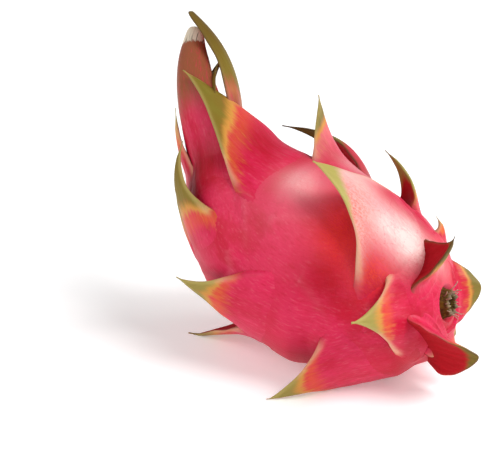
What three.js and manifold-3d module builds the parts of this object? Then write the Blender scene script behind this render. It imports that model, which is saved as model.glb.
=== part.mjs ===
// A whole dragon fruit lying on its side: one bent, egg-shaped body with leafy scales grown from its skin.
import * as THREE from "three";
import { mergeVertices } from "three/addons/utils/BufferGeometryUtils.js";
import Module from "manifold-3d";

const wasm = await Module();
wasm.setup();

// Driving dimensions, in millimetres and degrees
const bodyLength = 142; // along the bent centre line, stem end to flower end
const bodyRadius = 44.5; // where the body is fattest
const fattestAt = 0.45; // share of the centre line from the stem end
const stemPitch = -12; // slope of the centre line at the stem end
const flowerPitch = 60; // and at the flower end, which curls up
const bodyYaw = 30; // the flower end points left and away from the front
const restFlat = 2.2; // how far the belly is pressed flat where it rests
const stemFullness = { power: 2.3, root: 0.5 }; // roundness of the stem half
const flowerFullness = { power: 1.9, root: 0.56 }; // the flower half is a little slimmer
const stemEndRadius = 9; // lip of the scar at the stem end
const flowerEndRadius = 8; // lip of the navel at the flower end

// Outlines of the two ends: distance from the axis, and height over the lip
const stemScar = [[7.4, -1.6], [5.8, -1.4], [5.4, 1.6], [4.2, 2.4], [2.6, 1.6], [1.8, -1.2]];
const flowerNavel = [[7, -2], [5.4, -4.2], [3.2, -4.8], [2.6, -0.6], [1.4, 0.6]];

// Mesh fineness
const bodyRings = 32;
const bodySides = 34;
const scaleSides = 10;
const stationsFor = (length) => Math.round(5 + length / 22); // a longer blade has more rings

const level = new THREE.Vector3(-Math.cos(radians(bodyYaw)), Math.sin(radians(bodyYaw)), 0);
const front = new THREE.Vector3(-Math.sin(radians(bodyYaw)), -Math.cos(radians(bodyYaw)), 0);
const up = new THREE.Vector3(0, 0, 1);

function radians(degrees) {
  return (degrees * Math.PI) / 180;
}

function smooth(x) {
  const c = Math.min(1, Math.max(0, x));
  return c * c * (3 - 2 * c);
}

// a·x + b·y as a new vector
function blend(x, a, y, b) {
  return x.clone().multiplyScalar(a).addScaledVector(y, b);
}

// The centre line is a circular arc in the upright plane of "level"
function pitchAt(t) {
  return radians(stemPitch + (flowerPitch - stemPitch) * t);
}

function centreAt(t) {
  const bend = bodyLength / radians(flowerPitch - stemPitch);
  const along = bend * (Math.sin(pitchAt(t)) - Math.sin(pitchAt(0)));
  const rise = bend * (Math.cos(pitchAt(0)) - Math.cos(pitchAt(t)));
  return blend(level, along, up, rise);
}

function headingAt(t) {
  return blend(level, Math.cos(pitchAt(t)), up, Math.sin(pitchAt(t)));
}

function crownAt(t) {
  return blend(level, -Math.sin(pitchAt(t)), up, Math.cos(pitchAt(t)));
}

// Radius of the body: two half eggs that meet where it is fattest
function girthAt(t) {
  const stemHalf = t < fattestAt;
  const away = stemHalf ? (fattestAt - t) / fattestAt : (t - fattestAt) / (1 - fattestAt);
  const { power, root } = stemHalf ? stemFullness : flowerFullness;
  return bodyRadius * Math.max(0, 1 - Math.min(1, away) ** power) ** root;
}

// The share of the centre line where the girth falls to a given radius, at either end
function shareAtGirth(radius, flowerHalf) {
  const { power, root } = flowerHalf ? flowerFullness : stemFullness;
  const away = (1 - (radius / bodyRadius) ** (1 / root)) ** (1 / power);
  return flowerHalf ? fattestAt + away * (1 - fattestAt) : fattestAt * (1 - away);
}

// Turn 0 faces the front, 90 is the top of the fruit
function outward(t, turn) {
  return blend(front, Math.cos(radians(turn)), crownAt(t), Math.sin(radians(turn)));
}

function skinPoint(t, turn) {
  return centreAt(t).addScaledVector(outward(t, turn), girthAt(t));
}

// The lowest point of the round belly, found by stepping along its underside
function bellyLow() {
  const steps = 400;
  let low = skinPoint(0, -90);
  for (let i = 1; i < steps; i++) {
    const p = skinPoint(i / steps, -90);
    if (p.z < low.z) low = p;
  }
  return low;
}

const restSpot = bellyLow().addScaledVector(up, restFlat);

// A closed surface through rings of points, with a fan over each end
function loft(rings) {
  const sides = rings[0].length;
  const points = rings.flat();
  const faces = [];
  for (let i = 0; i < rings.length - 1; i++) {
    for (let j = 0; j < sides; j++) {
      const a = i * sides + j;
      const b = i * sides + ((j + 1) % sides);
      faces.push(a, b, b + sides, a, b + sides, a + sides);
    }
  }
  const ends = [
    { ring: rings[0], first: 0, turned: true },
    { ring: rings[rings.length - 1], first: (rings.length - 1) * sides, turned: false },
  ];
  for (const { ring, first, turned } of ends) {
    const middle = points.length;
    points.push(ring.reduce((sum, p) => sum.add(p), new THREE.Vector3()).divideScalar(sides));
    for (let j = 0; j < sides; j++) {
      const a = first + j;
      const b = first + ((j + 1) % sides);
      faces.push(...(turned ? [middle, b, a] : [middle, a, b]));
    }
  }
  const geometry = new THREE.BufferGeometry().setFromPoints(points);
  return geometry.setIndex(faces);
}

function solidFrom(geometry) {
  const bare = new THREE.BufferGeometry();
  bare.setAttribute("position", geometry.getAttribute("position"));
  bare.setIndex(geometry.index);
  const merged = mergeVertices(bare, 1e-4);
  const triVerts = new Uint32Array(merged.index.array);
  const vertProperties = new Float32Array(merged.attributes.position.array);
  return new wasm.Manifold(new wasm.Mesh({ numProp: 3, vertProperties, triVerts }));
}

function geometryFrom(solid) {
  const mesh = solid.getMesh();
  const geometry = new THREE.BufferGeometry();
  geometry.setAttribute("position", new THREE.BufferAttribute(mesh.vertProperties, 3));
  geometry.setIndex(new THREE.BufferAttribute(mesh.triVerts, 1));
  return geometry.toNonIndexed();
}

// Body: rings round the bent centre line, closed by the scar and the navel
function ringAt(middle, t, radius) {
  const ring = [];
  for (let j = 0; j < bodySides; j++) {
    const way = outward(t, (360 * j) / bodySides);
    ring.push(middle.clone().addScaledVector(way, radius).sub(restSpot));
  }
  return ring;
}

function bodyGeometry() {
  const first = shareAtGirth(stemEndRadius, false);
  const last = shareAtGirth(flowerEndRadius, true);
  const rings = [];
  for (const [radius, height] of [...stemScar].reverse()) {
    const middle = centreAt(first).addScaledVector(headingAt(first), -height);
    rings.push(ringAt(middle, first, radius));
  }
  for (let i = 0; i <= bodyRings; i++) {
    const share = (1 - Math.cos((Math.PI * i) / bodyRings)) / 2;
    const t = first + (last - first) * share;
    rings.push(ringAt(centreAt(t), t, girthAt(t)));
  }
  for (const [radius, height] of flowerNavel) {
    const middle = centreAt(last).addScaledVector(headingAt(last), height);
    rings.push(ringAt(middle, last, radius));
  }
  return loft(rings);
}

// Scales: a blade with a sunk, wide root, a thick midrib and thin rims.
// at: share of the centre line; turn: round the body; lean: how far it lifts off the skin;
// curl: how much more it bends outwards (or back, below 0) towards the tip; yaw and side: sideways;
// taper and belly: how the width falls to the tip; cup: half the arc of its hollow inner face.
const plainScale = { taper: 1.2, belly: 0.25, cup: 38, yaw: 0, side: 0 };
const scaleSink = 4; // root below the skin
const scaleThick = 5; // midrib at the root, over the rim
const rimThick = 1.1;

const shownScales = [
  // the big shield below the flower end, and the blunt tongue behind it
  { at: 0.69, turn: 86, length: 87, width: 63, lean: 30, curl: -20, side: -12, cup: 29 },
  { at: 0.857, turn: 2, length: 108, width: 40, lean: 15, curl: -39, yaw: -4, side: 2, cup: 74,
    taper: 0.3, belly: 0 },
  // slim blades round the navel
  { at: 0.854, turn: 135, length: 100.5, width: 31, lean: 70, curl: -39, yaw: -2, side: -34, cup: 45,
    taper: 0.33, belly: 0.1 },
  { at: 0.91, turn: 149, length: 68, width: 25, lean: 41, curl: 69, yaw: -5, cup: 16, taper: 0.6 },
  { at: 0.71, turn: -30, length: 63, width: 40, lean: 14, curl: -52, yaw: -11, side: -9, cup: 33 },
  { at: 0.86, turn: -53, length: 56, width: 27, lean: 19, curl: -20, yaw: 6 },
  // the broad cheek on the near side
  { at: 0.038, turn: 68.6, length: 72.5, width: 85, lean: 10, curl: -35, yaw: -3, side: 7.5, cup: 15,
    taper: 1.11, belly: 0 },
  // along the ridge, from the flower end to the stem end
  { at: 0.31, turn: 107, length: 68, width: 59, lean: 11, curl: 32, yaw: -9, cup: 50 },
  { at: 0.25, turn: 150, length: 100, width: 46, lean: 30, curl: -62, yaw: 6, side: 2, cup: 48 },
  { at: 0.16, turn: 153, length: 53, width: 42, lean: 36, curl: -52, yaw: 39, side: 7, cup: 25 },
  { at: 0.03, turn: 143, length: 32, width: 18, lean: 18, curl: -54 },
  // the collar round the stem end
  { at: 0.014, turn: 68, length: 40, width: 37, lean: 74, curl: -27, yaw: 9, side: 2, cup: 40 },
  { at: 0.018, turn: 174, length: 24, width: 27, lean: 54, curl: 0, yaw: -24, cup: 17,
    taper: 0.45, belly: 0.4 },
  { at: 0.02, turn: 228, length: 20, width: 28, lean: 24, curl: 0, cup: 26, taper: 0.7 },
  { at: 0.015, turn: 272, length: 20, width: 28, lean: 60, curl: 0, cup: 26, taper: 0.7 },
  { at: 0.012, turn: -42, length: 34, width: 37, lean: 86, curl: 10, yaw: -7, cup: 27,
    taper: 0.55, belly: 0.5 },
  { at: 0.02, turn: 12, length: 51, width: 46, lean: 22, curl: -26, cup: 29 },
  // low on the near side: the tip of the first touches the ground
  { at: 0.13, turn: -34, length: 58, width: 54, lean: 14.5, curl: -12, cup: 26 },
  { at: 0.4, turn: -20, length: 60, width: 54, lean: 12, curl: -16, cup: 28 },
  // under the belly: the first stands off the skin and props the flower half
  { at: 0.44, turn: 280, length: 60, width: 46, lean: 34, curl: 4, cup: 30 },
  { at: 0.68, turn: 286, length: 52, width: 38, lean: 9, curl: -28, cup: 36 },
];

// The far side carries two slanting rows. Each place down a row is nearer the flower end,
// with a smaller, more hooked scale.
const farRows = { rows: 2, places: 4, turn: 186, rowTurn: 42, slant: 8, at: 0.1, step: 0.22, lag: 0.07 };

function farScales() {
  const list = [];
  for (let row = 0; row < farRows.rows; row++) {
    for (let place = 0; place < farRows.places; place++) {
      list.push({
        at: farRows.at + farRows.step * place + farRows.lag * row,
        turn: farRows.turn + farRows.rowTurn * row + farRows.slant * place,
        length: 66 - 2 * place - 3 * row,
        width: 58 - 7 * place - 2 * row,
        lean: 13 - place - 3 * row,
        curl: -10 - 9 * place,
        cup: 28 + 4 * place,
      });
    }
  }
  return list;
}

// The skin's own directions at a point: towards the flower end, outwards, and across
function skinFrame(t, turn) {
  const step = 1e-3;
  const ahead = skinPoint(t + step, turn).sub(skinPoint(t - step, turn)).normalize();
  const round = skinPoint(t, turn + 0.5).sub(skinPoint(t, turn - 0.5)).normalize();
  const out = new THREE.Vector3().crossVectors(round, ahead).normalize();
  if (out.dot(outward(t, turn)) < 0) out.negate();
  return { ahead, out, across: new THREE.Vector3().crossVectors(out, ahead) };
}

function scaleGeometry(choice) {
  const s = { ...plainScale, ...choice };
  const { ahead, out, across } = skinFrame(s.at, s.turn);
  const skinRadius = girthAt(s.at) / Math.max(0.2, out.dot(outward(s.at, s.turn)));
  const rootCup = s.width / 2 / skinRadius;
  const stations = stationsFor(s.length);
  const stride = s.length / (stations - 1);
  const middle = skinPoint(s.at, s.turn).addScaledVector(out, -scaleSink).sub(restSpot);
  const rings = [];
  let before = null;
  for (let i = 0; i < stations; i++) {
    const u = i / (stations - 1);
    const rise = radians(s.lean * smooth(u / 0.4) + s.curl * smooth((u - 0.3) / 0.7));
    const sway = radians(s.yaw + s.side * u ** 1.5);
    const flat = blend(ahead, Math.cos(sway), across, Math.sin(sway));
    const heading = blend(flat, Math.cos(rise), out, Math.sin(rise));
    const back = blend(flat, -Math.sin(rise), out, Math.cos(rise));
    const side = new THREE.Vector3().crossVectors(back, heading);
    if (before) middle.addScaledVector(before.add(heading), stride / 2);
    before = heading.clone();
    const fall = (1 - u) ** s.taper * (1 + s.belly * Math.sin(Math.PI * u));
    const half = Math.max(0.5, (s.width / 2) * fall);
    const cup = rootCup + (radians(s.cup) - rootCup) * smooth(u / 0.7);
    const arc = half / cup;
    const thick = (scaleThick * (1 - u) ** 1.3 + rimThick) * Math.min(1, half / 2);
    const ring = [];
    for (let j = 0; j < scaleSides; j++) {
      const angle = (2 * Math.PI * j) / scaleSides;
      const lift = Math.sign(Math.sin(angle)) * Math.abs(Math.sin(angle)) ** 0.9 * 0.5;
      const phi = cup * Math.cos(angle);
      const way = blend(back, Math.cos(phi), side, Math.sin(phi));
      ring.push(middle.clone().addScaledVector(back, -arc).addScaledVector(way, arc + thick * lift));
    }
    rings.push(ring);
  }
  return loft(rings);
}

// Everything below the level that the fruit rests on is cut away
function belowFloor() {
  const depth = 100;
  const slab = new THREE.BoxGeometry(600, 600, depth);
  slab.translate(0, 0, -depth / 2);
  slab.deleteAttribute("normal");
  slab.deleteAttribute("uv");
  return solidFrom(mergeVertices(slab));
}

function facingOut(geometry) {
  const solid = solidFrom(geometry);
  if (solid.volume() > 0) return solid;
  const order = geometry.index.array;
  for (let i = 0; i < order.length; i += 3) {
    [order[i + 1], order[i + 2]] = [order[i + 2], order[i + 1]];
  }
  return solidFrom(geometry);
}

let fruit = facingOut(bodyGeometry());
for (const choice of [...shownScales, ...farScales()]) {
  fruit = fruit.add(facingOut(scaleGeometry(choice)));
}
fruit = fruit.subtract(belowFloor());
const bodies = fruit.decompose().sort((a, b) => b.volume() - a.volume());
const whole = bodies[0];

const skinMaterial = new THREE.MeshStandardMaterial({ color: 0xd8476a, roughness: 0.42, metalness: 0 });
const mesh = new THREE.Mesh(geometryFrom(whole), skinMaterial);
mesh.name = "fruit";

const dragonFruit = new THREE.Group();
dragonFruit.add(mesh);

export default dragonFruit;
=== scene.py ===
import bpy
import numpy as np
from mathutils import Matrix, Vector


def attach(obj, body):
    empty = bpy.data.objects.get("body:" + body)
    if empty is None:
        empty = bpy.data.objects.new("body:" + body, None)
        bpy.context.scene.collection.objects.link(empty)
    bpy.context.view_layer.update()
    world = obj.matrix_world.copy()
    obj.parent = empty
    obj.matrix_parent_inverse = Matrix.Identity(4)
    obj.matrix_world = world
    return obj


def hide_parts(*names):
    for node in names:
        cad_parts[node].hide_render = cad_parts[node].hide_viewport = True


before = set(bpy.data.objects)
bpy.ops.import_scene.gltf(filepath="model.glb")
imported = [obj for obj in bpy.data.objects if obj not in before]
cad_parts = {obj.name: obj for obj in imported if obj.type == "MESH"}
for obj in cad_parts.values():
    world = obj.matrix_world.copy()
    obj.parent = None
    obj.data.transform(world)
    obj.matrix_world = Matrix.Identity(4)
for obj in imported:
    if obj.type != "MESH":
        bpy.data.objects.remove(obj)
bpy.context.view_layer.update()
print("frame loaded:", sorted(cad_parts))

# Shapes are in millimetres and degrees, and turned into metres when a mesh is made
millimetre = 0.001

# The bent egg that everything grows from
fruitBody = {
    "length": 142.0,  # along the bent middle line
    "radius": 44.5,  # where it is fattest
    "fattestAt": 0.45,  # share of the middle line, from the stem end
    "stemPitch": -12.0,  # slope of the middle line at the stem end
    "flowerPitch": 60.0,  # and at the flower end
    "yaw": 30.0,  # the flower end points left and away from the front
    "flat": 2.2,  # belly pressed flat where it rests
    "stemFullness": (2.3, 0.5),  # power and root of the girth
    "flowerFullness": (1.9, 0.56),
    "stemEndRadius": 9.0,  # of the skin's lip round the scar
    "flowerEndRadius": 8.0,  # and round the navel
}


def unit(v):
    return v / np.linalg.norm(v, axis=-1, keepdims=True)


# An S-shaped rise from 0 at 0 to 1 at 1
def smooth(x):
    x = np.clip(x, 0, 1)
    return x * x * (3 - 2 * x)


# The same rise, from 0 at low to 1 at high
def rise(x, low, high):
    return smooth((x - low) / (high - low))


# 1 in the middle, falling off on both sides within about the given spread
def bell(x, spread):
    return np.exp(-(x / spread) ** 2)


yaw = np.radians(fruitBody["yaw"])
level = np.array([-np.cos(yaw), np.sin(yaw), 0.0])
front = np.array([-np.sin(yaw), -np.cos(yaw), 0.0])
up = np.array([0.0, 0.0, 1.0])


def pitchAt(t):
    t = np.asarray(t, float)
    return np.radians(fruitBody["stemPitch"] + (fruitBody["flowerPitch"] - fruitBody["stemPitch"]) * t)


# Middle line: an arc of a circle in the upright plane of "level"
bend = fruitBody["length"] / (pitchAt(1) - pitchAt(0))


def centreAt(t):
    along = bend * (np.sin(pitchAt(t)) - np.sin(pitchAt(0)))
    rise = bend * (np.cos(pitchAt(0)) - np.cos(pitchAt(t)))
    return along[..., None] * level + rise[..., None] * up


def headingAt(t):
    return np.cos(pitchAt(t))[..., None] * level + np.sin(pitchAt(t))[..., None] * up


def crownAt(t):
    return np.cos(pitchAt(t))[..., None] * up - np.sin(pitchAt(t))[..., None] * level


# Girth: radius times (1 - distance from the fattest place to a power) to a root, one pair for each half
def girthAt(t):
    t = np.asarray(t, float)
    fattest = fruitBody["fattestAt"]
    stemHalf = t < fattest
    away = np.where(stemHalf, (fattest - t) / fattest, (t - fattest) / (1 - fattest))
    halves = zip(fruitBody["stemFullness"], fruitBody["flowerFullness"])
    power, root = (np.where(stemHalf, *pair) for pair in halves)
    return fruitBody["radius"] * np.maximum(0, 1 - np.minimum(1, away) ** power) ** root


# Share of the middle line where the girth has fallen to an end's own radius
def endShare(end):
    power, root = fruitBody[end + "Fullness"]
    away = (1 - (fruitBody[end + "EndRadius"] / fruitBody["radius"]) ** (1 / root)) ** (1 / power)
    fattest = fruitBody["fattestAt"]
    return fattest * (1 - away) if end == "stem" else fattest + away * (1 - fattest)


# Turn 0 faces the front, 90 is the top of the fruit
def outward(t, turn):
    around = np.radians(np.asarray(turn, float))[..., None]
    return np.cos(around) * front + np.sin(around) * crownAt(t)


def skinPoint(t, turn):
    return centreAt(t) + outward(t, turn) * girthAt(t)[..., None]


# The lowest point of the underside, raised by the flat, lies on the ground at the origin
underTurn, underSteps = -90.0, 400
underside = skinPoint(np.arange(underSteps) / underSteps, np.full(underSteps, underTurn))
restSpot = underside[underside[:, 2].argmin()] + up * fruitBody["flat"]


# The skin's own directions: towards the flower end, outwards, and across
def skinFrame(t, turn):
    share, degrees = 0.001, 0.5
    ahead = unit(skinPoint(t + share, turn) - skinPoint(t - share, turn))
    around = unit(skinPoint(t, turn + degrees) - skinPoint(t, turn - degrees))
    out = unit(np.cross(around, ahead))
    if out @ outward(t, turn) < 0:
        out = -out
    return ahead, out, np.cross(out, ahead)


# Scales. at: share of the middle line; turn: round the body; lean: lift off the skin; curl: further bend,
# outwards or back; yaw and side: sideways; taper and belly: how the width falls to the tip; cup: half the
# arc of the hollow inner face; sink: depth of its root; thick and rim: thickness. Colours: green and
# innerGreen are where the tip colour of the outer and inner face starts and is full, slanted by skew; pale
# and brown change it, orange and milk are bands before it, russet dries the face from dryFrom on, paper is
# a dried film at the tip, rimCream and rimDark tint the rim, and painted shade darkens the inner face.
plainScale = {
    "taper": 1.2, "belly": 0.25, "cup": 38, "yaw": 0, "side": 0, "sink": 4.0, "thick": 5.0, "rim": 1.1,
    "green": (0.55, 1.0), "innerGreen": (0.75, 1.1), "pale": 0.2, "brown": 0.1, "orange": 0.6,
    "paper": 0.0, "rimCream": 0.7, "innerShade": 0.3, "ripple": 0.5, "skew": 0.0,
    "russet": 0.0, "dryFrom": 0.55, "rimDark": 0.25, "milk": 0.0,
}

crownBlades = {
    "shield": {"at": 0.69, "turn": 86, "length": 87, "width": 63, "lean": 30, "curl": -20, "side": -12,
        "cup": 29, "green": (0.5, 0.74), "pale": 0.05, "skew": 0.13},
    "tongue": {"at": 0.857, "turn": 2, "length": 108, "width": 40, "lean": 15, "curl": -39, "yaw": -4,
        "side": 2, "cup": 74, "taper": 0.3, "belly": 0, "green": (0.9, 1.2), "brown": 0.6,
        "orange": 0.1, "paper": 1.0, "russet": 1.0, "dryFrom": 0.4, "rimCream": 0.1, "rimDark": 0.5},
    "sickle": {"at": 0.854, "turn": 135, "length": 100.5, "width": 31, "lean": 70, "curl": -39, "yaw": -2,
        "side": -34, "cup": 45, "taper": 0.33, "belly": 0.1, "green": (0.3, 0.55), "brown": 0.6,
        "pale": 0.0, "orange": 0.1, "skew": -0.12, "russet": 0.9, "dryFrom": 0.1, "rimCream": 0.1,
        "rimDark": 0.8},
    "innerBlade": {"at": 0.91, "turn": 149, "length": 69, "width": 33, "lean": 41, "curl": 69, "yaw": -2,
        "cup": 16, "taper": 0.45, "green": (0.2, 0.5), "innerGreen": (0.3, 0.6), "pale": 0.0,
        "brown": 0.4, "rimCream": 0.1, "rimDark": 0.6},
    "leftBlade": {"at": 0.71, "turn": -30, "length": 63, "width": 40, "lean": 14, "curl": -52, "yaw": -11,
        "side": -9, "cup": 33, "green": (0.35, 0.6), "pale": 0.1},
    "backBlade": {"at": 0.86, "turn": -53, "length": 56, "width": 27, "lean": 19, "curl": -20, "yaw": 6,
        "green": (0.7, 1.1), "pale": 0.9, "orange": 0.8},
}

ridgeScales = {
    "ridgeHorn": {"at": 0.31, "turn": 107, "length": 68, "width": 59, "lean": 11, "curl": 32, "yaw": -9,
        "cup": 50, "green": (0.72, 0.95), "pale": 0.6, "brown": 0.7, "orange": 0.35,
        "skew": 0.08, "milk": 0.28},
    "ridgeHook": {"at": 0.25, "turn": 150, "length": 100, "width": 46, "lean": 30, "curl": -62, "yaw": 6,
        "side": 2, "cup": 48, "green": (0.5, 0.8), "innerGreen": (0.65, 0.85), "brown": 0.8,
        "innerShade": 0.1, "rimCream": 0.0, "rimDark": 1.0, "orange": 0.0,
        "russet": 0.3, "dryFrom": 0.0},
    "ridgeClaw": {"at": 0.16, "turn": 153, "length": 53, "width": 42, "lean": 36, "curl": -52, "yaw": 39,
        "side": 7, "cup": 25, "green": (0.4, 0.7), "innerGreen": (0.55, 0.85), "brown": 0.15,
        "pale": 0.4, "innerShade": 0.0, "rimCream": 0.1, "rimDark": 0.4, "orange": 0.3},
    "ridgeBud": {"at": 0.04, "turn": 138, "length": 30, "width": 24, "lean": 39, "curl": -50,
        "green": (0.7, 1.2), "orange": 0.9, "rimDark": 0.6},
}

cheekScales = {
    "cheek": {"at": 0.038, "turn": 70, "length": 72.5, "width": 80, "lean": 10, "curl": -35, "yaw": -3,
        "side": 7.5, "cup": 15, "taper": 1.11, "belly": 0, "green": (0.66, 0.95), "pale": 0.75,
        "orange": 0.0, "rimCream": 1.0, "milk": 1.0, "skew": 0.12},
    "lowCheek": {"at": 0.13, "turn": -34, "length": 58, "width": 54, "lean": 14.5, "curl": -12, "cup": 26,
        "green": (0.6, 0.9), "pale": 0.35},
    "midCheek": {"at": 0.4, "turn": -20, "length": 60, "width": 54, "lean": 12, "curl": -16, "cup": 28,
        "green": (0.6, 0.85), "pale": 0.4},
    "bellyProp": {"at": 0.44, "turn": 280, "length": 60, "width": 46, "lean": 34, "curl": 4, "cup": 30},
    "bellyScale": {"at": 0.68, "turn": 286, "length": 52, "width": 38, "lean": 9, "curl": -28, "cup": 36},
}

collarScales = {
    "collarTop": {"at": 0.014, "turn": 68, "length": 40, "width": 37, "lean": 74, "curl": -27, "yaw": 9,
        "side": 2, "cup": 40, "green": (0.5, 0.85), "innerGreen": (0.72, 1.05), "brown": 0.7,
        "innerShade": 0.15, "rimCream": 0.1, "rimDark": 1.0},
    "collarFar": {"at": 0.018, "turn": 174, "length": 24, "width": 27, "lean": 54, "curl": 0, "yaw": -24,
        "cup": 17, "taper": 0.45, "belly": 0.4, "green": (0.6, 0.9), "innerGreen": (0.7, 1.05),
        "brown": 0.4, "innerShade": 0.0, "rimCream": 0.1, "rimDark": 0.8, "orange": 0.3},
    "collarBack": {"at": 0.02, "turn": 228, "length": 20, "width": 28, "lean": 24, "curl": 0, "cup": 26,
        "taper": 0.7},
    "collarUnder": {"at": 0.015, "turn": 272, "length": 20, "width": 28, "lean": 60, "curl": 0, "cup": 26,
        "taper": 0.7},
    "collarLow": {"at": 0.012, "turn": -42, "length": 34, "width": 37, "lean": 86, "curl": 10, "yaw": -7,
        "cup": 27, "taper": 0.55, "belly": 0.5, "green": (0.8, 1.05), "innerGreen": (0.7, 1.0),
        "brown": 0.6, "innerShade": 0.0, "rimCream": 0.1, "rimDark": 0.8},
    "collarLip": {"at": 0.02, "turn": 12, "length": 51, "width": 46, "lean": 22, "curl": -26, "cup": 29,
        "green": (0.6, 0.9), "pale": 0.5, "rimCream": 1.0},
}

# The far side: slanting rows, smaller and more hooked towards the flower end
farRows = {"rows": 2, "places": 4, "turn": 186, "rowTurn": 42, "slant": 8, "at": 0.1, "step": 0.22,
           "lag": 0.07}


def farScale(row, place):
    return {
        "at": farRows["at"] + farRows["step"] * place + farRows["lag"] * row,
        "turn": farRows["turn"] + farRows["rowTurn"] * row + farRows["slant"] * place,
        "length": 66 - 2 * place - 3 * row,
        "width": 58 - 7 * place - 2 * row,
        "lean": 13 - place - 3 * row,
        "curl": -10 - 9 * place,
        "cup": 28 + 4 * place,
        "green": (0.6 - 0.05 * place, 0.9), "pale": 0.3 - 0.08 * place,
    }


farScales = {f"far{row}{place}": farScale(row, place)
             for row in range(farRows["rows"]) for place in range(farRows["places"])}
scaleGroups = {"crownBlades": crownBlades, "ridgeScales": ridgeScales, "cheekScales": cheekScales,
               "collarScales": collarScales, "farScales": farScales}


def addObject(name, data):
    made = bpy.data.objects.new(name, data)
    bpy.context.scene.collection.objects.link(made)
    return made


# Turns surfaces (rows of closed rings, and masks over them) into one mesh. The rings are joined to their
# neighbours, and a fan closes each end. A surface that came out inside out is turned round.
def makePiece(name, surfaces, material):
    points, faces = [], []
    values = {key: [] for key in surfaces[0][1]}
    base = 0
    for grid, masks in surfaces:
        rows, sides = grid.shape[:2]
        ringPoints = np.vstack([grid.reshape(-1, 3), grid[0].mean(0), grid[-1].mean(0)])
        here = np.arange(rows * sides).reshape(rows, sides)
        beside = np.roll(here, -1, 1)
        quads = np.stack([here[:-1], beside[:-1], beside[1:], here[1:]], -1).reshape(-1, 4)
        a, b, c, d = (ringPoints[quads[:, k]] for k in range(4))
        volume = np.einsum("ij,ij->", a, np.cross(b, c)) + np.einsum("ij,ij->", a, np.cross(c, d))
        start = np.stack([np.full(sides, rows * sides), beside[0], here[0]], -1)
        end = np.stack([np.full(sides, rows * sides + 1), here[-1], beside[-1]], -1)
        if volume < 0:
            quads, start, end = quads[:, ::-1], start[:, ::-1], end[:, ::-1]
        faces += (quads + base).tolist() + (start + base).tolist() + (end + base).tolist()
        points.append(ringPoints)
        base += len(ringPoints)
        for key in values:
            mask = masks[key]
            ends = np.stack([mask[0].reshape(sides, -1).mean(0), mask[-1].reshape(sides, -1).mean(0)])
            values[key].append(np.vstack([mask.reshape(rows * sides, -1), ends]))
    mesh = bpy.data.meshes.new(name)
    mesh.from_pydata((np.vstack(points) * millimetre).tolist(), [], faces)
    mesh.polygons.foreach_set("use_smooth", np.ones(len(mesh.polygons), bool))
    for key, parts in values.items():
        together = np.vstack(parts).astype(np.float32)
        kind = "FLOAT_VECTOR" if together.shape[1] == 3 else "FLOAT"
        layer = mesh.attributes.new(key, kind, "POINT")
        layer.data.foreach_set("vector" if kind == "FLOAT_VECTOR" else "value", together.ravel())
    mesh.materials.append(material)
    mesh.update()
    piece = addObject(name, mesh)
    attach(piece, "root")
    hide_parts("fruit")
    print("made", name, len(mesh.polygons), "faces")


# Colours as red, green and blue light
rindColours = {
    "pink": (0.68, 0.02, 0.085), "crimson": (0.5, 0.003, 0.018),
    # White is the pale bloom, partly a painted highlight; pale rose also paints the crest's sheen
    "paleRose": (0.8, 0.22, 0.26), "white": (0.92, 0.64, 0.6),
    # Orange is the blush, partly painted light; vivid red is painted light
    "orange": (0.74, 0.06, 0.02), "paintedLitRed": (0.95, 0.012, 0.025),
    # Deep red colours veins and also paints shade; maroon paints only shade
    "deepRed": (0.36, 0.0015, 0.006), "shadeMaroon": (0.14, 0.001, 0.004),
    "olive": (0.2, 0.125, 0.01), "freshGreen": (0.2, 0.19, 0.02),
    "creamGreen": (0.55, 0.48, 0.13), "cream": (0.86, 0.48, 0.3),
    "milk": (0.88, 0.56, 0.52), "tan": (0.62, 0.27, 0.05),
    "innerRed": (0.42, 0.004, 0.012), "driedBrown": (0.09, 0.045, 0.012),
    "russet": (0.3, 0.085, 0.035), "paper": (0.84, 0.72, 0.56),
}

# Noises on the grain: features per millimetre across, through and along, then detail, roughness and shift
noises = {
    "patch": ((0.06, 0.06, 0.025), 4.0, 0.65, 0.0),
    "dashes": ((1.0, 1.0, 0.22), 3.0, 0.6, 5.0),
    "flecks": ((1.9, 1.9, 0.9), 2.0, 0.5, 11.0),
    "bends": ((0.12, 0.12, 0.08), 3.0, 0.6, 2.0),  # of the cracks in the bloom
    "streaks": ((0.55, 0.55, 0.03), 2.0, 0.5, 3.0),  # of a blade
    "fine": ((1.8, 1.8, 0.3), 2.0, 0.5, 8.0),  # short streaks
    "ridges": ((900.0, 900.0, 160.0), 3.0, 0.6, 0.0),  # of dry tissue, per metre
}
shiftWay = (1.0, 0.7, 1.3)


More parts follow.
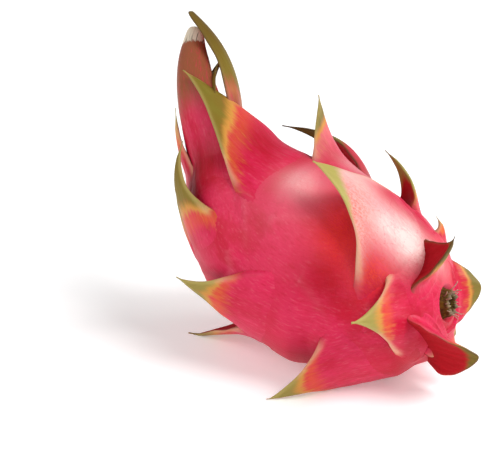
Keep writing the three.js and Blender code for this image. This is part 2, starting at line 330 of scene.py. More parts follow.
# A socket of a shader. Sums and products add Math nodes to its material.
class Wire:
    def __init__(self, tree, socket=None):
        self.tree = tree
        self.socket = socket

    # Adds a node: its type, its settings, then the values or links of its sockets
    def node(self, kind, settings=None, values=None, out=0):
        made = self.tree.nodes.new(kind)
        for key, value in (settings or {}).items():
            setattr(made, key, value)
        for key, value in (values or {}).items():
            if isinstance(value, Wire):
                self.tree.links.new(value.socket, made.inputs[key])
            else:
                made.inputs[key].default_value = value
        return Wire(self.tree, made.outputs[out]) if len(made.outputs) else None

    def maths(self, operation, a, b, clamped=False):
        return self.node("ShaderNodeMath", {"operation": operation, "use_clamp": clamped}, {0: a, 1: b})

    def __add__(self, other):
        return self.maths("ADD", self, other)

    __radd__ = __add__

    def __sub__(self, other):
        return self.maths("SUBTRACT", self, other)

    def __rsub__(self, other):
        return self.maths("SUBTRACT", other, self)

    def __mul__(self, other):
        return self.maths("MULTIPLY", self, other)

    __rmul__ = __mul__

    def clamp(self):
        return self.maths("ADD", self, 0.0, clamped=True)

    # An S-shaped step from 0 at low to full at high
    def step(self, low, high, full=1.0):
        return self.node("ShaderNodeMapRange", {"interpolation_type": "SMOOTHSTEP"},
                         {0: self, 1: low, 2: high, 3: 0.0, 4: full})

    # This colour, turned by a factor into another one: a wire's, or a rind colour by name
    def to(self, colour, factor):
        other = colour if isinstance(colour, Wire) else (*rindColours[colour], 1)
        return self.node("ShaderNodeMix", {"data_type": "RGBA", "clamp_factor": True},
                         {0: factor, 6: self, 7: other}, out=2)

    def part(self, index):
        return self.node("ShaderNodeSeparateXYZ", None, {0: self}, out=index)

    # One of the named noises, on this vector
    def noise(self, name):
        scale, detail, roughness, shift = noises[name]
        moved = self.node("ShaderNodeMapping", None, {
            "Vector": self, "Scale": scale, "Location": [shift * along for along in shiftWay]})
        return self.node("ShaderNodeTexNoise", None, {
            "Vector": moved, "Scale": 1.0, "Detail": detail, "Roughness": roughness})

    # A mask of the piece that its surface function worked out: a vector, or one value with out=2
    def mask(self, name, out=1):
        return self.node("ShaderNodeAttribute", {"attribute_name": name}, None, out)

    def plainColour(self, name):
        made = self.node("ShaderNodeRGB")
        made.socket.default_value = (*rindColours[name], 1)
        return made


def newMaterial(name):
    material = bpy.data.materials.new(name)
    material.use_nodes = True
    tree = material.node_tree
    tree.nodes.clear()
    return material, Wire(tree)


# At least the first amount, and more with each noise by the amounts after it
def uneven(amounts, *noises):
    total = amounts[0]
    for noise, much in zip(noises, amounts[1:]):
        total = total + noise * much
    return total


# A mask whose edge the noises push to and fro
def frayed(mask, amounts, *noises):
    for noise, much in zip(noises, amounts):
        mask = mask + (noise - 0.5) * much
    return mask


# Ends a material: a waxy or dry surface, with its height in the bump
def finishMaterial(start, colour, roughness, height, gloss, relief):
    bump = start.node("ShaderNodeBump", None, {
        "Strength": 1.0, "Distance": relief * millimetre, "Height": height})
    surface = start.node("ShaderNodeBsdfPrincipled", None, {
        "Base Color": colour, "Roughness": roughness, "Normal": bump,
        "Specular IOR Level": 0.12, "Coat Weight": gloss, "Coat Roughness": 0.3,
    })
    start.node("ShaderNodeOutputMaterial", None, {"Surface": surface})


# The pink of skin and blades turns to a colour by a noise: where it takes hold, is full, and how much
pinkSteps = [("crimson", "patch", (0.4, 0.66, 0.7)), ("paleRose", "dashes", (0.52, 0.78, 0.22)),
             ("crimson", "dashes", (0.5, 0.26, 0.45)), ("paleRose", "flecks", (0.68, 0.8, 0.14))]


def skinTone(start, grain):
    found = {name: grain.noise(name) for name in ("patch", "dashes", "flecks")}
    colour = start.plainColour("pink")
    for other, name, step in pinkSteps:
        colour = colour.to(other, found[name].step(*step))
    return colour, *found.values()


# Pale bloom with fine bent cracks, partly waxy bloom and partly a painted highlight, and warm blush with
# freckles, partly orange blush and partly painted light
bloomHighlightLook = {
    "cellSize": 0.13,  # cells between cracks, per millimetre
    "crackWidth": 0.05,  # in shares of a cell
    "freckles": (0.4, 0.65),  # where flecks take hold and are full
    "blushAndLight": (0.4, 0.5),  # at least, and more with freckles
    "bloomHighlight": (1.25, 1.1, -0.9, -0.5, -0.3),  # and by patches, dashes, flecks and cracks
}


def spotTone(colour, glow, grain, patch, dashes, flecks):
    look = bloomHighlightLook
    bent = grain.node("ShaderNodeMix", {"data_type": "RGBA", "blend_type": "ADD"},
                      {0: 1.0, 6: grain, 7: grain.noise("bends")}, out=2)
    cells = bent.node("ShaderNodeTexVoronoi", {"feature": "DISTANCE_TO_EDGE"},
                      {"Vector": bent, "Scale": look["cellSize"], "Randomness": 1.0})
    freckles = flecks.step(*look["freckles"])
    cracks = (1 - cells.step(0.0, look["crackWidth"])) * freckles
    # Orange blush with freckles, partly painted light where the blush spots brighten a shaded hollow
    colour = colour.to("orange", glow.part(1) * uneven(look["blushAndLight"], freckles))
    # Pale bloom with cracks, partly a painted highlight
    return colour.to("white", (glow.part(0) * uneven(look["bloomHighlight"], patch, dashes, flecks, cracks)).clamp())


# How strong each colour is: at least, and more with a noise. The height makes the bump.
skinLook = {
    # Painted sheen on the crest, painted shade in the hollows and the deep-red spots, painted light in the
    # vivid red
    "crestSheen": (0.35, 0.5),  # patches
    "pocketShade": (0.4, 0.6),  # dashes
    "line": (0.0, 0.3),  # dashes
    "deepRed": (0.5, 0.6),  # patches
    "paintedLitRed": 0.55,
    "roughness": (0.36, 0.2),  # dashes
    "height": (0.0, 0.8, 0.6, 0.8),  # dashes, flecks, patches
    "gloss": 0.1, "relief": 0.16,
}


# Skin: zones is (painted shade of the hollows and underside, rim line, painted sheen of the crest), glow is
# (bloom with a painted highlight, blush with painted light, deep red painted shade)
def skinMaterial():
    look = skinLook
    material, start = newMaterial("waxyPinkSkin")
    grain, zones, glow = (start.mask(name) for name in ("grain", "zones", "glow"))
    colour, patch, dashes, flecks = skinTone(start, grain)
    # Painted sheen: pale rose along the crest, partly waxy bloom
    colour = colour.to("paleRose", zones.part(2) * uneven(look["crestSheen"], patch))
    # Painted shade: crimson in the hollows under the scales and on the underside
    colour = colour.to("crimson", zones.part(0) * uneven(look["pocketShade"], dashes))
    colour = colour.to("paleRose", zones.part(1) * uneven(look["line"], dashes))
    # Painted shade: deep red in the spots of shade
    colour = colour.to("deepRed", glow.part(2) * uneven(look["deepRed"], patch))
    colour = spotTone(colour, glow, grain, patch, dashes, flecks)
    # Painted light: vivid red that brightens the shaded hollow beside the cheek's rim
    colour = colour.to("paintedLitRed", glow.part(1) * look["paintedLitRed"])
    roughness = uneven(look["roughness"], dashes)
    height = uneven(look["height"], dashes, flecks, patch)
    finishMaterial(start, colour, roughness, height, look["gloss"], look["relief"])
    return material


# Frays are by streaks, fine streaks and patches. Steps say where a mask or noise takes hold, is full, and
# how much. The rest is how strong a colour is: at least, and more with the noises named.
bladeLook = {
    "turnFray": (0.4, 0.25, 0.4), "turnStep": (0.3, 0.9),  # olive tip
    "warmFray": (0.4, 0.3, 0.3), "warmStep": (0.1, 0.95),  # orange band before it
    "innerFray": (0.4,), "innerStep": (0.15, 0.85),  # tip of the inner face
    "filmFray": (0.6, 1.1), "filmStep": (0.3, 0.6),  # dried film
    "freshStep": (0.4, 0.7, 0.6),  # fresh green patches in the olive
    "dried": (0.45, 0.8),  # streaks
    "fibrous": (0.0, 0.5, 0.5), "russetStep": (0.2, 0.55),  # streaks, fine
    # Painted shade in the deep-red spots
    "deepRed": (0.5, 0.7),  # streaks
    "milk": (0.5, 0.5, -0.3, 0.4),  # streaks, dashes, fine
    "tanStep": (0.0, 0.4), "tanWarmStep": (0.0, 0.2), "warmTan": 0.2,
    "rim": (0.55, 0.5), "rimInGreen": (1.0, -0.75), "rimGreen": 0.6,  # fine
    "veinStep": (0.35, 0.65, 0.7),  # streaks of the inner face
    # Painted shade of the inner face, and its cream rim
    "innerShade": (0.5, 0.7), "innerRim": 0.5,  # patches
    "faceStep": (0.38, 0.62),  # from the inner to the outer face
    "rimDark": (0.4, 0.8),  # fine
    "crackStep": (0.56, 0.66, 0.75),  # dark streaks of the film
    "roughness": (0.74, -0.38, 0.16, 0.1, 0.2),  # outer face, dashes, green, film
    "height": (0.0, 0.7, 0.5, 0.5),  # streaks, fine, dashes
    "gloss": 0.12, "relief": 0.25,
}


# Blades: place is (dark rim, deep red painted shade, outer face), ripe is (green, orange, rim), dry is
# (pale, brown, paper), shade is (painted shade of the inner face, inner green, russet), glow is (bloom with
# a painted highlight, blush with painted light, milk)
def bladeMaterial():
    look = bladeLook
    material, start = newMaterial("waxyBladeRind")
    names = ("grain", "place", "ripe", "dry", "shade", "glow")
    grain, place, ripe, dry, shade, glow = (start.mask(name) for name in names)
    outer, rim = place.part(2), ripe.part(2)
    streaks, fine = grain.noise("streaks"), grain.noise("fine")
    colour, patch, dashes, flecks = skinTone(start, grain)
    # outer face: pink, then orange, then olive to a dried tip, with a cream rim
    turning = frayed(ripe.part(0), look["turnFray"], streaks, fine, patch)
    green = turning.step(*look["turnStep"])
    warm = frayed(ripe.part(1), look["warmFray"], streaks, fine, patch).step(*look["warmStep"])
    tip = start.plainColour("olive")
    tip = tip.to("freshGreen", patch.step(*look["freshStep"]))
    tip = tip.to("creamGreen", dry.part(0))
    tip = tip.to("driedBrown", dry.part(1) * uneven(look["dried"], streaks))
    fibrous = uneven(look["fibrous"], streaks, fine)
    colour = colour.to("russet", shade.part(2) * fibrous.step(*look["russetStep"]))
    colour = colour.to("orange", warm)
    # Painted shade: deep red in the spots of shade
    colour = colour.to("deepRed", place.part(1) * uneven(look["deepRed"], streaks))
    colour = colour.to("milk", glow.part(2) * uneven(look["milk"], streaks, dashes, fine))
    colour = spotTone(colour, glow, grain, patch, dashes, flecks)
    tanned = turning.step(*look["tanStep"]) * ripe.part(1).step(*look["tanWarmStep"])
    colour = colour.to("tan", tanned + warm * look["warmTan"])
    colour = colour.to(tip, green)
    colour = colour.to("cream", rim * uneven(look["rim"], fine) * uneven(look["rimInGreen"], green))
    colour = colour.to("creamGreen", rim * green * look["rimGreen"])
    # inner face: deep red with darker lengthwise veins, green only near its tip
    inner = start.plainColour("innerRed")
    inner = inner.to("deepRed", streaks.step(*look["veinStep"]))
    # Painted shade: maroon on the inner face, most near the skin
    inner = inner.to("shadeMaroon", shade.part(0) * uneven(look["innerShade"], patch))
    inner = inner.to(tip, frayed(shade.part(1), look["innerFray"], streaks).step(*look["innerStep"]))
    inner = inner.to("cream", rim * look["innerRim"])
    onOuter = outer.step(*look["faceStep"])
    colour = inner.to(colour, onOuter)
    colour = colour.to("driedBrown", place.part(0) * uneven(look["rimDark"], fine))
    film = frayed(dry.part(2), look["filmFray"], streaks, fine).step(*look["filmStep"])
    paper = start.plainColour("paper").to("driedBrown", streaks.step(*look["crackStep"]))
    colour = colour.to(paper, film)
    roughness = uneven(look["roughness"], outer, dashes, green, film)
    height = uneven(look["height"], streaks, fine, dashes)
    finishMaterial(start, colour, roughness, height, onOuter * look["gloss"], look["relief"])
    return material


dryLook = {"ridgeStep": (0.45, 0.65, 0.6), "edge": (0.4, 0.7), "roughness": (0.6, 0.25), "gloss": 0.0,
           "relief": 0.3}


# Dry brown tissue with ridges, paler on its torn edges
def dryMaterial():
    look = dryLook
    material, start = newMaterial("driedWoodyTissue")
    objectPlace = start.node("ShaderNodeTexCoord", out=3)
    ridges = objectPlace.noise("ridges")
    colour = start.plainColour("driedBrown").to("olive", ridges.step(*look["ridgeStep"]))
    colour = colour.to("paper", start.mask("edge", out=2) * uneven(look["edge"], ridges))
    finishMaterial(start, colour, uneven(look["roughness"], ridges), ridges, look["gloss"], look["relief"])
    return material


# How every blade is drawn, in shares of its length from root to tip, and in millimetres
bladeForm = {
    "stations": 96, "sides": 48,  # rings along it, and points round each ring
    "leanDone": 0.4,  # fully lifted off the skin from here
    "curlFrom": 0.3,  # bends outwards or back from here to the tip
    "cupDone": 0.7,  # the inner face is fully hollow from here
    "sidePower": 1.5, "thinPower": 1.3,  # how late it bends sideways, and how its thickness falls
    "lensPower": 0.9,  # how full its section is
    "leastHalf": 0.5, "fullThickHalf": 2.0,  # half widths: at the tip, and where it gets thinner
    "leastSlope": 0.2,  # keeps the skin's radius finite where it turns into an end
}


# A scale's middle line, its own directions along it, its half width, and half the arc of its hollow
def bladeSpine(s, stations):
    form = bladeForm
    ahead, out, across = skinFrame(s["at"], s["turn"])
    u = np.linspace(0, 1, stations)
    lifted = s["lean"] * smooth(u / form["leanDone"]) + s["curl"] * rise(u, form["curlFrom"], 1)
    slope = np.radians(lifted)[:, None]
    sway = np.radians(s["yaw"] + s["side"] * u ** form["sidePower"])[:, None]
    flat = np.cos(sway) * ahead + np.sin(sway) * across
    heading = np.cos(slope) * flat + np.sin(slope) * out
    back = np.cos(slope) * out - np.sin(slope) * flat
    side = np.cross(back, heading)
    stride = s["length"] / (stations - 1)
    walked = np.cumsum((heading[1:] + heading[:-1]) * stride / 2, axis=0)
    root = skinPoint(s["at"], s["turn"]) - out * s["sink"] - restSpot
    middle = np.vstack([np.zeros(3), walked]) + root
    half = s["width"] / 2 * (1 - u) ** s["taper"] * (1 + s["belly"] * np.sin(np.pi * u))
    skinRadius = girthAt(s["at"]) / max(form["leastSlope"], out @ outward(s["at"], s["turn"]))
    rootCup = s["width"] / 2 / skinRadius
    cup = rootCup + (np.radians(s["cup"]) - rootCup) * smooth(u / form["cupDone"])
    return u, middle, back, side, np.maximum(form["leastHalf"], half), cup


# Thickness: falls to the rim's own at the tip, and is less where the blade is very narrow
def bladeThickness(s, u, half):
    thick = s["thick"] * (1 - u) ** bladeForm["thinPower"] + s["rim"]
    return (thick * np.minimum(1, half / bladeForm["fullThickHalf"]))[:, None]


# Points across a blade: on arcs round centres behind the middle line, or some way over them
def acrossBlade(middle, back, side, half, cup, wide, over):
    arc = (half / cup)[:, None]
    phi = cup[:, None] * wide
    way = np.cos(phi)[..., None] * back[:, None] + np.sin(phi)[..., None] * side[:, None]
    return middle[:, None] - back[:, None] * arc[..., None] + way * (arc + over)[..., None]


# Normals of a grid of points
def gridNormals(grid):
    return unit(np.cross(np.roll(grid, -1, 1) - np.roll(grid, 1, 1), np.gradient(grid, axis=0)))


# Height of points over the plain skin, from the nearest place on the middle line's arc
def heightOverSkin(points):
    arcCentre = bend * (np.cos(pitchAt(0)) * up - np.sin(pitchAt(0)) * level)
    gap = points + restSpot - arcCentre
    t = (np.arctan2(gap @ level, -(gap @ up)) - pitchAt(0)) / (pitchAt(1) - pitchAt(0))
    t = np.clip(t, 0, 1)
    return np.linalg.norm(points + restSpot - centreAt(t), axis=-1) - girthAt(t)


# Spots over skin and blades alike: place, spread, and strength
# Pale bloom, partly waxy bloom and partly a painted highlight
bloomHighlightSpots = [((12, -27, 80), 10, 0.75), ((22, -23, 71), 11, 1.0), ((33, -16, 58), 8, 0.5),
              ((0, 20, 91), 9, 0.3), ((-26, -4, 92), 10, 0.3)]
# Blush, partly orange blush and partly painted light that brightens the shaded hollow beside the cheek's rim
blushAndLightSpots = [((4, -40, 62), 10, 0.8), ((-8, -27, 84), 14, 1.0), ((-5, -26, 74), 10, 1.0),
              ((38, -14, 58), 9, 0.5)]
# Painted shade: deep red spots that darken skin and blades
deepShadeSpots = [((-44, 22, 104), 14, 0.9), ((-69, 20, 91), 14, 1.0), ((-16, -36, 59), 15, 1.0)]


def spotMask(points, spots):
    return 1 - np.prod([1 - much * bell(np.linalg.norm(points - np.array(place, float), axis=-1), spread)
                        for place, spread, much in spots], axis=0)


# Skin and blades closer than the join's width both swell by a quarter of it, times the square of how much
# closer they lie, and so meet smoothly
joinWidth = 11.0


def joinSwell(gap):
    return joinWidth / 4 * np.clip(1 - np.maximum(gap, 0) / joinWidth, 0, 1) ** 2


# Where a blade would sink into the ground, its lower face stays so far over it, its upper face further
groundGap = {"lower": 0.08, "upperTimes": 5}

# Waves and veins, different for each blade by a phase that grows by the golden angle
goldenAngle = 2.39996
bladeWaves = {
    "waves": 1.7, "shift": 0.31, "otherRim": 1.3,  # long waves of the rims
    "fineWaves": 4.1, "fineShare": 0.5, "fineShift": 2.1, "fineOtherRim": 2.0,
    "rimPower": 3, "from": 0.3, "fade": 0.15, "fullHalf": 12.0,
    "veinHeight": 0.10, "veins": 9, "veinsMore": 3, "veinFrom": 0.2, "veinFade": 0.2,
}

# Where the colours of a blade begin and are full: along it, from the start of the green, or in millimetres
bladeMarks = {
    "rimLead": 0.08, "rimLeadWidth": 3.5,  # the tip colour runs ahead along the rims
    "orange": (-0.17, 0.03), "darkRim": (-0.3, 0.0), "milk": (-0.28, 0.04),
    "brown": (0.45, 0.85), "paper": (0.84, 0.92), "paperSlant": 0.02, "russetFade": 0.2,
    "rimWidth": 1.1, "darkWidth": 0.7, "offSkin": (0.5, 4.5),
    # Painted shade of the inner face near the skin: how much, and the height over which it fades
    "faceSharpness": 6, "rootShade": 0.3, "rootShadeHeight": 14,
    "grainDepth": 6.0, "grainShift": (40, 17, 23),  # no two blades share their grain
}


# Masks over a grid of points, as one
def stackMasks(grid, *masks):
    return np.stack([np.broadcast_to(mask, grid.shape[:2]) for mask in masks], -1)


# Blade: rings round the middle line. A point of a ring lies on an arc round a centre behind the middle
# line, as far out as the arc's radius plus the blade's lens-shaped thickness, rippled rim and veins.
def bladeSurface(choice, seed):
    s = {**plainScale, **choice}
    form, waves, marks = bladeForm, bladeWaves, bladeMarks
    u, middle, back, side, half, cup = bladeSpine(s, form["stations"])
    angle = np.linspace(0, 2 * np.pi, form["sides"], endpoint=False)
    wide = np.cos(angle)[None]
    lift = np.sign(np.sin(angle)) * np.abs(np.sin(angle)) ** form["lensPower"] * 0.5
    upper = lift[None] > 0
    uu = u[:, None]
    phase = seed * goldenAngle
    longWave = np.sin(2 * np.pi * (waves["waves"] * uu + waves["shift"] * seed)
                      + waves["otherRim"] * np.sign(wide) + phase)
    fineWave = np.sin(2 * np.pi * waves["fineWaves"] * uu + waves["fineShift"] * phase
                      + waves["fineOtherRim"] * np.sign(wide))
    ripple = s["ripple"] * (longWave + waves["fineShare"] * fineWave) * np.abs(wide) ** waves["rimPower"]
    ripple = ripple * smooth(uu / waves["from"]) * smooth((1 - uu) / waves["fade"])
    ripple = ripple * np.minimum(1, half / waves["fullHalf"])[:, None]
    veins = np.sin(wide * (waves["veins"] + waves["veinsMore"] * np.sin(phase)) + 2 * uu + phase)
    veins = waves["veinHeight"] * veins * smooth((1 - uu) / waves["veinFade"])
    veins = veins * smooth(uu / waves["veinFrom"]) * upper
    over = bladeThickness(s, u, half) * lift[None] + ripple + veins
    grid = acrossBlade(middle, back, side, half, cup, wide, over)
    normal = gridNormals(grid)
    normal = normal * np.sign(np.einsum("ijk,ijk->ij", normal, grid - grid.mean(1, keepdims=True)).mean())
    height = heightOverSkin(grid)
    grid = grid + normal * joinSwell(height)[..., None]
    lowest = groundGap["lower"] * np.where(upper, groundGap["upperTimes"], 1)
    grid[..., 2] = np.maximum(grid[..., 2], lowest)
    # masks for the colours
    rimGap = half[:, None] * (1 - np.abs(wide))
    lead = uu + marks["rimLead"] * bell(rimGap, marks["rimLeadWidth"]) + s["skew"] * wide
    fromGreen = lead - s["green"][0]
    green, innerGreen = rise(lead, *s["green"]), rise(lead, *s["innerGreen"])
    orange = s["orange"] * rise(fromGreen, *marks["orange"]) * (1 - green)
    rim = s["rimCream"] * bell(rimGap, marks["rimWidth"]) * rise(height, *marks["offSkin"])
    rimDark = s["rimDark"] * bell(rimGap, marks["darkWidth"]) * rise(fromGreen, *marks["darkRim"])
    milk = s["milk"] * rise(fromGreen, *marks["milk"])
    brown = s["brown"] * rise(uu, *marks["brown"])
    paper = s["paper"] * rise(uu - marks["paperSlant"] * wide, *marks["paper"])
    russet = s["russet"] * smooth((uu - s["dryFrom"]) / marks["russetFade"])
    outer = 0.5 + 0.5 * np.clip(np.sin(angle)[None] * marks["faceSharpness"], -1, 1)
    # Painted shade: the inner face darker near the skin, under the blade's overhang
    rootShade = marks["rootShade"] * (1 - smooth(height / marks["rootShadeHeight"]))
    grain = stackMasks(grid, wide * half[:, None], lift[None] * marks["grainDepth"], uu * s["length"])
    return grid, {
        "grain": grain + np.array(marks["grainShift"]) * seed,
        "place": stackMasks(grid, rimDark, spotMask(grid, deepShadeSpots), outer),
        "ripe": stackMasks(grid, green, orange, rim),
        "dry": stackMasks(grid, s["pale"], brown, paper),
        "shade": stackMasks(grid, np.minimum(1, s["innerShade"] + rootShade), innerGreen, russet),
        "glow": stackMasks(grid, spotMask(grid, bloomHighlightSpots), spotMask(grid, blushAndLightSpots), milk),
    }


# How finely a blade is sampled for its distance, and how high over the skin it still counts
gapSampling = {"stations": 44, "across": 31, "rootStations": 4, "heightLimit": 22, "atOnce": 3000}


# Distance from skin points to a blade: to its nearest middle point, less half its thickness
def gapToBlade(points, s):
    u, middle, back, side, half, cup = bladeSpine(s, gapSampling["stations"])
    low = heightOverSkin(middle) < gapSampling["heightLimit"]
    low[:gapSampling["rootStations"]] = True
    wide = np.linspace(-1, 1, gapSampling["across"])[None]
    surface = acrossBlade(middle, back, side, half, cup, wide, 0)[low].reshape(-1, 3)
    thick = (bladeThickness(s, u, half) / 2 * np.sqrt(1 - wide ** 2))[low].ravel()
    origin = surface.mean(0)
    a, b = (points - origin).astype(np.float32), (surface - origin).astype(np.float32)
    squares = (a ** 2).sum(1)[:, None] + (b ** 2).sum(1)[None] - 2 * a @ b.T
    return (np.sqrt(np.maximum(squares, 0)) - thick[None].astype(np.float32)).min(1)


# Outlines of the two ends: distance from the axis, and height over the lip
stemScar = [(1.5, -4.6), (3.5, -4.4), (5.2, -3.6), (6.2, -2.4), (7.4, -1.6)]
flowerNavel = [(7.0, -2.0), (5.4, -4.2), (3.2, -4.8), (2.6, -4.0), (1.4, -3.6)]

# Low forms of the skin, in millimetres or shares of a scale's length or half width
skinForms = {
    "rows": 230, "sides": 320,
    "swell": 1.2, "swellMost": 2.0, "swellHalf": 25,  # swelling at each scale's root
    "reachShare": 0.42, "behindShare": 0.6, "aheadShare": 0.2, "sideShare": 0.8,
    "depth": 6, "depthFade": 14,  # a scale marks only the skin near its root
    "lineHeight": 0.3, "lineWidth": 1.8, "lineAhead": 2,  # where a scale's rims run down the skin
    # Painted shade lies in the hollow under a scale: along it, and to the sides
    "pocketShade": (1, 9), "pocketSideShare": 0.9,  # the hollow under a scale
    "joinReachShare": 0.55,
    "sink": 1.1,  # of the whole skin, under what it gains
    "undulation": 0.25,
    "endFade": 14,  # forms fade out within 1/14 of either end
}
# Sine waves round and along the skin: waves round, phase for each millimetre along, phase, and height
skinWaves = [(3, 0.05, 0, 1.0), (7, -0.11, 1, 0.6), (5, 0.19, 2, 0.4)]
# Painted sheen of the pale crest, partly waxy bloom, and painted shade of the red underside and of the
# hollows under scales: where they lie, in degrees and millimetres, and how strong
skinZones = {
    "crestTurn": 70, "crestSpread": 32, "crestAlong": (30, 60), "crestSheen": 0.8,
    "topTurn": 90, "belowTurns": (85, 145), "below": 0.8, "pocketShade": 0.6,
}


def allScales():
    return [{**plainScale, **choice} for group in scaleGroups.values() for choice in group.values()]


# How far a turn lies from another, from -180 to 180
def turnFrom(turn, other):
    return (turn - other + 180) % 360 - 180


# What scales do to the skin round their roots: swelling, rim lines and the painted shade of the hollow
# under each, each a product of bells along, across and off the skin
def rootForms(grid):
    form = skinForms
    swell, line, pocketShade = (np.zeros(grid.shape[:2]) for _ in range(3))
    for s in allScales():
        ahead, out, across = skinFrame(s["at"], s["turn"])
        sway = np.radians(s["yaw"])
        along = np.cos(sway) * ahead + np.sin(sway) * across
        side = np.cross(out, along)
        gap = grid - (skinPoint(s["at"], s["turn"]) - restSpot)
        a, b, c = gap @ along, gap @ side, gap @ out
        near = bell(np.minimum(0, c + form["depth"]), form["depthFade"])
        half = s["width"] / 2
        reach = form["reachShare"] * s["length"]
        fore = bell(a, form["aheadShare"] * s["length"])
        fall = np.where(a < 0, bell(a, reach * form["behindShare"]), fore)
        size = form["swell"] * (half / form["swellHalf"])
        swell += size * fall * bell(b, half * form["sideShare"]) * near
        outline = half * np.sqrt(np.clip(1 + a / reach, 0, 1))
        onLine = bell(np.abs(b) - outline, form["lineWidth"]) * smooth((a + reach) / reach)
        line = np.maximum(line, onLine * (a < form["lineAhead"]) * near)
        # Painted shade in the hollow under the scale
        under = rise(a, *form["pocketShade"]) * bell(a, reach)
        pocketShade = np.maximum(pocketShade, under * bell(b, half * form["pocketSideShare"]) * near)
    return form["swellMost"] * np.tanh(swell / form["swellMost"]), line, pocketShade


# How far the skin swells to meet the blades
def joinForms(grid):
    points = grid.reshape(-1, 3)
    join = np.zeros(len(points))
    for s in allScales():
        root = skinPoint(s["at"], s["turn"]) - restSpot
        reach = skinForms["joinReachShare"] * s["length"] + joinWidth
        close = np.flatnonzero(np.linalg.norm(points - root, axis=1) < reach)
        for some in np.array_split(close, 1 + len(close) // gapSampling["atOnce"]):
            join[some] = np.maximum(join[some], joinSwell(gapToBlade(points[some], s)))
    return join.reshape(grid.shape[:2])


# Skin: rings round the middle line, closed by scar and navel, then pushed outwards by the low forms
def skinSurface():
    form, zone = skinForms, skinZones
    first, last = endShare("stem"), endShare("flower")
    share = (1 - np.cos(np.linspace(0, np.pi, form["rows"]))) / 2
    t = first + (last - first) * share
    scar, navel = np.array(stemScar), np.array(flowerNavel)
    ends = (len(scar), len(navel))
    tAll = np.pad(t, ends, "edge")
    radius = np.concatenate([scar[:, 0], girthAt(t), navel[:, 0]])
    push = np.concatenate([-scar[:, 1], t * 0, navel[:, 1]])
    turn = np.arange(form["sides"]) * 360 / form["sides"]
    middle = centreAt(tAll) + headingAt(tAll) * push[:, None] - restSpot
    way = outward(tAll[:, None], turn[None])
    grid = middle[:, None] + way * radius[:, None, None]
    normal = gridNormals(grid)
    normal = normal * np.sign(np.einsum("ijk,ijk->ij", normal, way))[..., None]
    inSkin = smooth(share * form["endFade"]) * smooth((1 - share) * form["endFade"])
    inSkin = np.pad(inSkin, ends)[:, None]
    swell, line, pocketShade = rootForms(grid)
    around = np.radians(turn)[None]
    long = (tAll * fruitBody["length"])[:, None]
    undulation = sum(much * np.sin(count * around + along * long + phase)
                     for count, along, phase, much in skinWaves)
    gain = swell + joinForms(grid) - form["sink"]
    gain = gain + form["lineHeight"] * line + form["undulation"] * undulation
    grid = grid + normal * (gain * inSkin)[..., None]
    grid[..., 2] = np.maximum(grid[..., 2], 0)
    # masks for the colours
    straight = stackMasks(grid, np.cos(around) * radius[:, None], np.sin(around) * radius[:, None], long)
    # Painted sheen along the top of the fruit, partly waxy bloom
    crestSheen = bell(turnFrom(turn[None], zone["crestTurn"]), zone["crestSpread"])
    crestSheen = zone["crestSheen"] * crestSheen * rise(long, *zone["crestAlong"])
    # Painted shade: the underside darker, and the hollows under the scales
    below = zone["below"] * rise(np.abs(turnFrom(turn[None], zone["topTurn"])), *zone["belowTurns"])
    pocketShade = np.maximum(pocketShade * zone["pocketShade"], below)
    # No sheen in the painted shade of the hollows, nor where the painted light lies
    crestSheen = crestSheen * (1 - pocketShade) * (1 - spotMask(grid, blushAndLightSpots))
    glow = [spotMask(grid, spots) for spots in (bloomHighlightSpots, blushAndLightSpots, deepShadeSpots)]
    return grid, {"grain": straight, "zones": stackMasks(grid, pocketShade, line, crestSheen),
                  "glow": stackMasks(grid, *glow)}


# Stem scar, a ragged woody ring round a hole, and navel, the wrinkled dried base of the flower. Outlines are
# (radius, height). Waves are (waves round, phase, height), as shares of the radius or in millimetres.
woodyRing = {
    "end": "stem", "steps": 48, "sides": 120,
    "outline": [(7.6, -2.4), (6.6, -1.2), (6.0, 0.4), (5.7, 1.9), (5.0, 2.7), (4.2, 2.9), (3.4, 2.0),
                (2.9, 0.2), (2.4, -1.8), (0.8, -3.2)],
    "bulges": [(5, 0, 0.05), (17, 1, 0.035)],
    "folds": [(7, 0.6, 0.5), (13, 2, 0.35), (23, 0, 0.25)], "foldBy": "height",
    "foldIn": (-0.5, 2.0), "edge": 0.25, "edgeIn": (1.8, 3.0),
}
driedBase = {
    "end": "flower", "steps": 44, "sides": 120,
    "outline": [(8.3, -2.2), (7.6, -0.4), (6.8, 0.2), (5.8, -1.4), (4.2, -3.0), (2.8, -3.2), (2.4, 0.2),
                (1.6, 1.4), (0.5, 1.7)],
    "bulges": [], "folds": [(11, 0, 0.3), (19, 1, 0.25)], "foldBy": "radius",
    "foldIn": (0, 6), "edge": 0.4, "edgeIn": (-0.6, 0.9),
}


# An end's share of the middle line, its middle, and the way out of it
def endFrame(end):
    t = endShare(end)
    return t, centreAt(t) - restSpot, headingAt(t) * (-1 if end == "stem" else 1)


# A closed ring shape round an end's axis: radius and height follow the outline, plus waves round it
def endSurface(form):
    t, middle, axis = endFrame(form["end"])
    around = np.radians(np.arange(form["sides"]) * 360 / form["sides"])[None]
    bulge, fold = (sum(much * np.sin(count * around + phase) for count, phase, much in form[key])
                   for key in ("bulges", "folds"))
    at = np.linspace(0, len(form["outline"]) - 1, form["steps"])
    radius, height = (np.interp(at, np.arange(len(form["outline"])), column)[:, None]
                      for column in np.array(form["outline"]).T)
    measure = {"radius": radius, "height": height}[form["foldBy"]]
    height = height + fold * rise(measure, *form["foldIn"])
    radius = radius * (1 + bulge) * np.ones_like(around)
    grid = middle + axis * height[..., None] + outward(t, np.degrees(around)) * radius[..., None]
    return grid, {"edge": form["edge"] * rise(height, *form["edgeIn"])}


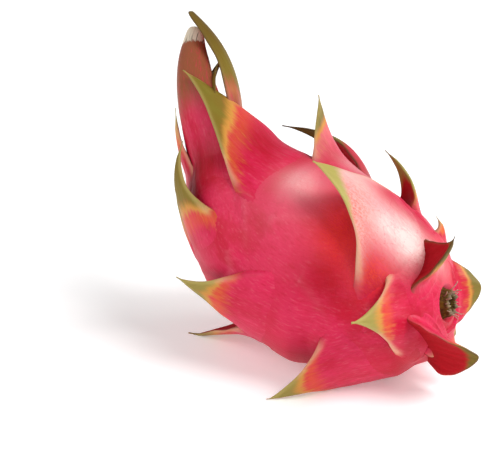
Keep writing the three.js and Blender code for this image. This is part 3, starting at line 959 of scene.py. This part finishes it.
# Torn fibres of the stem scar and withered strips of the navel: ranges in millimetres and degrees
stemFibres = {"end": "stem", "seed": 4, "count": 16, "length": (5.0, 10.0), "width": (0.5, 1.2),
              "ring": 4.6}
navelStrips = {"end": "flower", "seed": 9, "count": 20, "length": (3.0, 6.0), "width": (1.4, 2.6),
               "ring": 5.0}
stripForm = {
    "rings": 16, "sides": 8, "thickness": 0.4, "taper": 0.85, "taperPower": 1.5, "curlAt": 1.6,
    "bend": (-30, 70), "spacing": 0.8, "ringShare": (0.75, 1), "splay": (0.05, 0.5), "rooted": 2.0,
    "edge": 0.8,
}


# A thin torn strip or fibre: a flat tube that narrows along a line, bent by a power of the way
def stripSurface(start, direction, bendWay, length, width, bend):
    form = stripForm
    u = np.linspace(0, 1, form["rings"])[:, None]
    bent = np.radians(bend) * u ** form["curlAt"]
    heading = np.cos(bent) * direction + np.sin(bent) * bendWay
    walked = np.cumsum((heading[1:] + heading[:-1]) / 2, axis=0) * length / (form["rings"] - 1)
    middle = start + np.vstack([np.zeros(3), walked])
    side = unit(np.cross(direction, bendWay))
    normal = np.cross(side, heading)
    around = np.radians(np.arange(form["sides"]) * 360 / form["sides"])[None, :, None]
    half = width / 2 * (1 - form["taper"] * u ** form["taperPower"])[:, None]
    lift = normal[:, None] * np.sin(around) * form["thickness"] / 2
    grid = middle[:, None] + side * np.cos(around) * half + lift
    return grid, {"edge": np.broadcast_to(u * form["edge"], grid.shape[:2])}


def fibreSurfaces(fibres):
    form = stripForm
    draw = np.random.default_rng(fibres["seed"])
    t, middle, axis = endFrame(fibres["end"])
    made = []
    for k in range(fibres["count"]):
        way = outward(t, 360 * (k + draw.uniform(0, form["spacing"])) / fibres["count"])
        start = middle + way * fibres["ring"] * draw.uniform(*form["ringShare"])
        direction = unit(axis + way * draw.uniform(*form["splay"]))
        made.append(stripSurface(start - axis * form["rooted"], direction, way,
                                 draw.uniform(*fibres["length"]), draw.uniform(*fibres["width"]),
                                 draw.uniform(*form["bend"])))
    return made


pinkSkin, bladeRind, dryTissue = skinMaterial(), bladeMaterial(), dryMaterial()
print("materials made")

makePiece("fruitSkin", [skinSurface()], pinkSkin)
seed = 0
for groupName, group in scaleGroups.items():
    blades = []
    for choice in group.values():
        seed += 1
        blades.append(bladeSurface(choice, seed))
    makePiece(groupName, blades, bladeRind)
makePiece("stemScar", [endSurface(woodyRing)] + fibreSurfaces(stemFibres), dryTissue)
makePiece("flowerNavel", [endSurface(driedBase)] + fibreSurfaces(navelStrips), dryTissue)

# Floor, sky and lights, in metres. A light is its kind, place, target and settings.
studio = {
    "floorSize": 12.0, "floorColour": (0.93, 0.93, 0.93), "floorRoughness": 0.8, "floorGlow": 0.26,
    "skyColour": (1.0, 1.0, 1.0), "skyStrength": 0.29,
}
lights = {
    "sun": ("SUN", (0.62, -0.4, 0.85), (0, 0, 0), {"energy": 1.95, "angle": np.radians(25)}),
    "fill": ("SUN", (-1.0, -0.45, 0.7), (0, 0, 0), {"energy": 1.15, "angle": np.radians(50)}),
    "softBox": ("AREA", (0.6, 0.1, 0.42), (0.02, -0.02, 0.07), {"energy": 2.0, "size": 0.25}),
}


def makeFloor():
    reach = studio["floorSize"] / 2
    mesh = bpy.data.meshes.new("floor")
    corners = [(-reach, -reach, 0), (reach, -reach, 0), (reach, reach, 0), (-reach, reach, 0)]
    mesh.from_pydata(corners, [], [(0, 1, 2, 3)])
    floor = addObject("floor", mesh)
    material, start = newMaterial("paleFloor")
    surface = start.node("ShaderNodeBsdfPrincipled", None, {
        "Base Color": (*studio["floorColour"], 1), "Roughness": studio["floorRoughness"],
        "Emission Color": (*studio["skyColour"], 1), "Emission Strength": studio["floorGlow"]})
    start.node("ShaderNodeOutputMaterial", None, {"Surface": surface})
    mesh.materials.append(material)


makeFloor()
world = bpy.data.worlds.new("studioSky")
world.use_nodes = True
sky = world.node_tree.nodes["Background"]
sky.inputs["Color"].default_value = (*studio["skyColour"], 1)
sky.inputs["Strength"].default_value = studio["skyStrength"]
bpy.context.scene.world = world
for name, (kind, place, target, settings) in lights.items():
    light = bpy.data.lights.new(name, kind)
    for key, value in settings.items():
        setattr(light, key, value)
    lamp = addObject(name, light)
    lamp.location = place
    lamp.rotation_euler = (Vector(target) - Vector(place)).to_track_quat("-Z", "Y").to_euler()
print("floor and lights made")

# Camera: level with nothing turned or shifted, looking along +Y and down at the fruit
view = {"elevation": 20.0, "lens": 85.0, "distance": 0.545, "target": (-0.0487, 0.0, 0.066), "nearest": 0.01}
lens = bpy.data.cameras.new("camera")
lens.lens = view["lens"]
lens.clip_start = view["nearest"]
camera = addObject("camera", lens)
tilt = np.radians(view["elevation"])
away = Vector((0, -np.cos(tilt), np.sin(tilt))) * view["distance"]
camera.location = Vector(view["target"]) + away
camera.rotation_euler = (np.pi / 2 - tilt, 0, 0)
bpy.context.scene.camera = camera
bpy.context.scene.view_settings.view_transform = "Standard"
